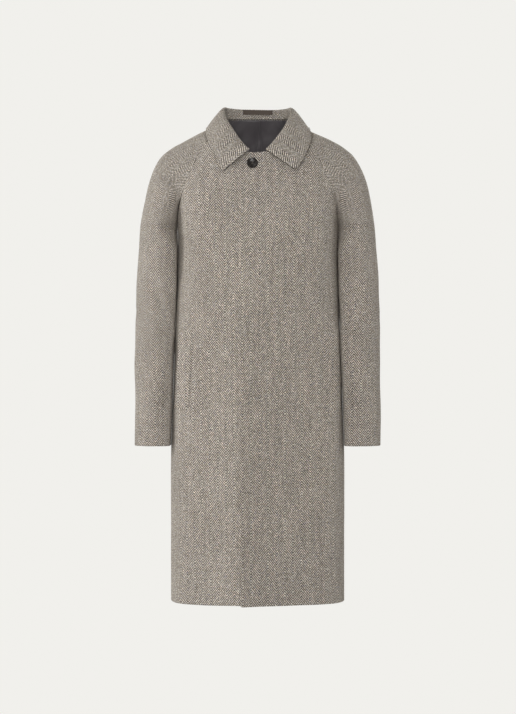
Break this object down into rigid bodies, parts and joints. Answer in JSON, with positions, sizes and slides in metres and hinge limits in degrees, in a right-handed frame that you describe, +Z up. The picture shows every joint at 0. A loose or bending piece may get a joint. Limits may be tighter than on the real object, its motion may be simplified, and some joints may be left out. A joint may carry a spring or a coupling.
{
  "type": "wool overcoat",
  "caption": "Long straight fly-front overcoat with raglan sleeves, a turned-down collar and slanted welt pockets, open at neck, cuffs and hem.",
  "frame": {"origin": "inside the neck, on the coat's middle plane, level with the points where the shoulders meet the neck; the wearer holds the coat there", "axes": "+Z up, the coat's front faces -Y, and the wearer's left is +X"},
  "size_m": [0.5636, 0.3063, 1.1365],
  "materials": {
    "herringbone_wool": "brushed grey-brown herringbone wool with light and dark flecks",
    "dark_lining": "smooth dark grey lining cloth with a soft sheen",
    "brown_label": "woven brown tape, bare",
    "dark_button": "dark polished button"
  },
  "bodies": {
    "root": {"front_left": "herringbone_wool", "front_right": "herringbone_wool", "back": "herringbone_wool", "sleeve_left_front": "herringbone_wool", "sleeve_left_back": "herringbone_wool", "sleeve_right_front": "herringbone_wool", "sleeve_right_back": "herringbone_wool", "collar": "herringbone_wool", "pocket_welt_left": "herringbone_wool", "pocket_welt_right": "herringbone_wool", "back_lining": "dark_lining", "neck_label": "brown_label", "neck_button": "dark_button"}
  },
  "joints": []
}
